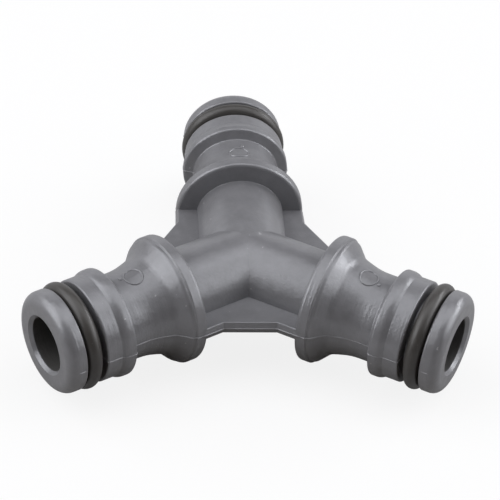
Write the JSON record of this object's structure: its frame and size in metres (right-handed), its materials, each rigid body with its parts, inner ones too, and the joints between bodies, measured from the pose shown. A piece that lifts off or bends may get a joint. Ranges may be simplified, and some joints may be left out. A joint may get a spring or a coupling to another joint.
{
  "type": "tubing y connector",
  "caption": "Y-shaped hose joiner with flanged snap-fit arms at even angles, a flat web between them and a rubber O-ring behind each nose.",
  "frame": {"origin": "the point in the parting plane where the axes of the arms meet", "axes": "+Z square to the plane of the arms, +Y out along the rear arm, the left and right arms at 120 degrees to it"},
  "size_m": [0.0676, 0.059, 0.0198],
  "materials": {
    "grey_plastic": "satin",
    "seal_rubber": "satin"
  },
  "bodies": {
    "root": {"fitting_body": "grey_plastic", "o_ring_rear": "seal_rubber", "o_ring_left": "seal_rubber", "o_ring_right": "seal_rubber"}
  },
  "joints": []
}
